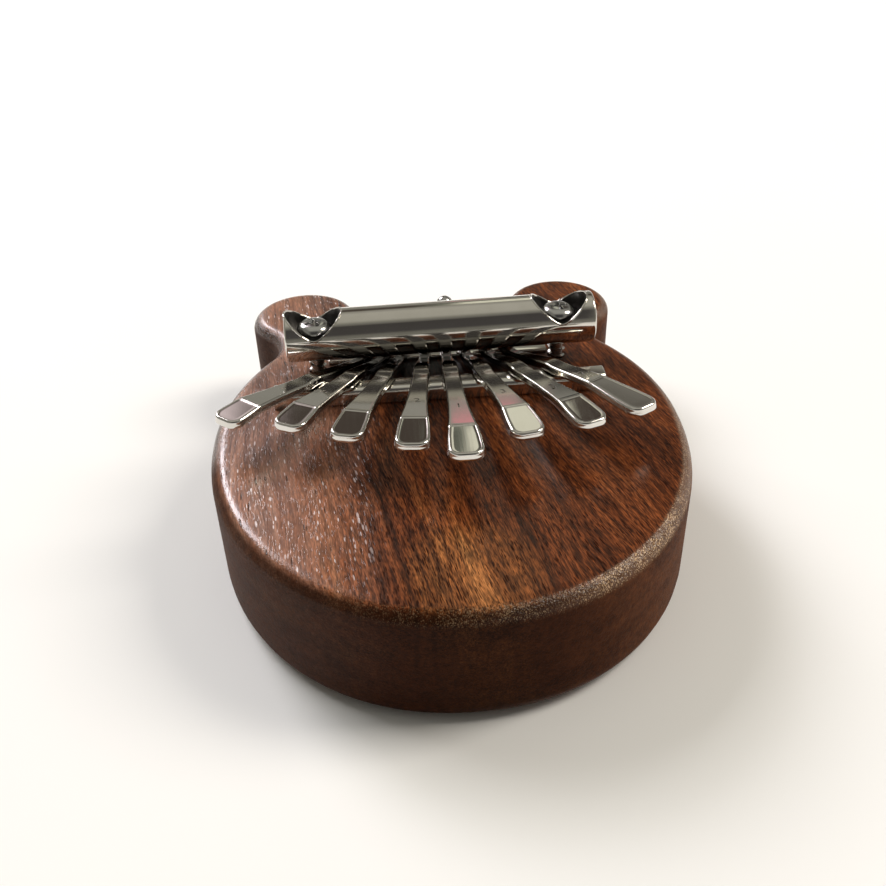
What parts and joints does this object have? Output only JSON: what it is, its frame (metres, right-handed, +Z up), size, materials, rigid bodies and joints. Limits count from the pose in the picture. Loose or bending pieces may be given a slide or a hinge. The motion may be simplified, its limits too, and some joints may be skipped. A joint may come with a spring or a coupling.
{
  "type": "mbira",
  "caption": "Pocket thumb piano with an animal-head wooden body, a fan of flat steel tines held over two bridges by a round cross bar, and a sound hole in the back.",
  "frame": {"origin": "middle of the body's overall length and width, on the plane the back rests on", "axes": "+Z up out of the playing face, +Y towards the ears, +X to the right as seen with the ears pointing away"},
  "size_m": [0.08, 0.1014, 0.033],
  "materials": {
    "body_wood": "gloss lacquered reddish-brown hardwood with open pores",
    "back_wood": "satin lacquered reddish-brown wood board",
    "bar_chrome": "polished chrome plate",
    "bridge_chrome": "polished chrome plate",
    "tine_steel": "polished nickel-plated spring steel",
    "screw_steel": "bright plated steel"
  },
  "bodies": {
    "case": {"body_block": "body_wood", "back_board": "back_wood", "clamp_bar": "bar_chrome", "clamp_screw_left": "screw_steel", "clamp_screw_right": "screw_steel", "front_bridge": "bridge_chrome", "rear_bridge": "bridge_chrome", "forehead_pin": "screw_steel"},
    "key_1": {"tine_1": "tine_steel"},
    "key_2": {"tine_2": "tine_steel"},
    "key_3": {"tine_3": "tine_steel"},
    "key_4": {"tine_4": "tine_steel"},
    "key_5": {"tine_5": "tine_steel"},
    "key_6": {"tine_6": "tine_steel"},
    "key_7": {"tine_7": "tine_steel"},
    "key_8": {"tine_8": "tine_steel"}
  },
  "joints": [
    {"name": "tine_1_flex", "type": "hinge", "parent": "case", "child": "key_1", "pos_m": [-0.0241, 0.0052, 0.02415], "axis": [0.766, -0.6428, 0], "range_deg": [-0.5, 1.2], "stiffness_Nm_per_rad": 1.152},
    {"name": "tine_2_flex", "type": "hinge", "parent": "case", "child": "key_2", "pos_m": [-0.0169, 0.0052, 0.02415], "axis": [0.8805, -0.4741, 0], "range_deg": [-0.5, 1.4], "stiffness_Nm_per_rad": 1.236},
    {"name": "tine_3_flex", "type": "hinge", "parent": "case", "child": "key_3", "pos_m": [-0.0106, 0.0052, 0.02415], "axis": [0.9617, -0.274, 0], "range_deg": [-0.5, 1.6], "stiffness_Nm_per_rad": 1.657},
    {"name": "tine_4_flex", "type": "hinge", "parent": "case", "child": "key_4", "pos_m": [-0.004, 0.0052, 0.02415], "axis": [0.9949, -0.1011, 0], "range_deg": [-0.5, 1.8], "stiffness_Nm_per_rad": 2.22},
    {"name": "tine_5_flex", "type": "hinge", "parent": "case", "child": "key_5", "pos_m": [0.00125, 0.0052, 0.02415], "axis": [1, 0.0017, 0], "range_deg": [-0.5, 1.9], "stiffness_Nm_per_rad": 2.977},
    {"name": "tine_6_flex", "type": "hinge", "parent": "case", "child": "key_6", "pos_m": [0.007, 0.0052, 0.02415], "axis": [0.9839, 0.1788, 0], "range_deg": [-0.5, 1.8], "stiffness_Nm_per_rad": 2.012},
    {"name": "tine_7_flex", "type": "hinge", "parent": "case", "child": "key_7", "pos_m": [0.0134, 0.0052, 0.02415], "axis": [0.9348, 0.3551, 0], "range_deg": [-0.5, 1.3], "stiffness_Nm_per_rad": 1.83},
    {"name": "tine_8_flex", "type": "hinge", "parent": "case", "child": "key_8", "pos_m": [0.0201, 0.0052, 0.02415], "axis": [0.8554, 0.518, 0], "range_deg": [-0.5, 1], "stiffness_Nm_per_rad": 1.479}
  ]
}
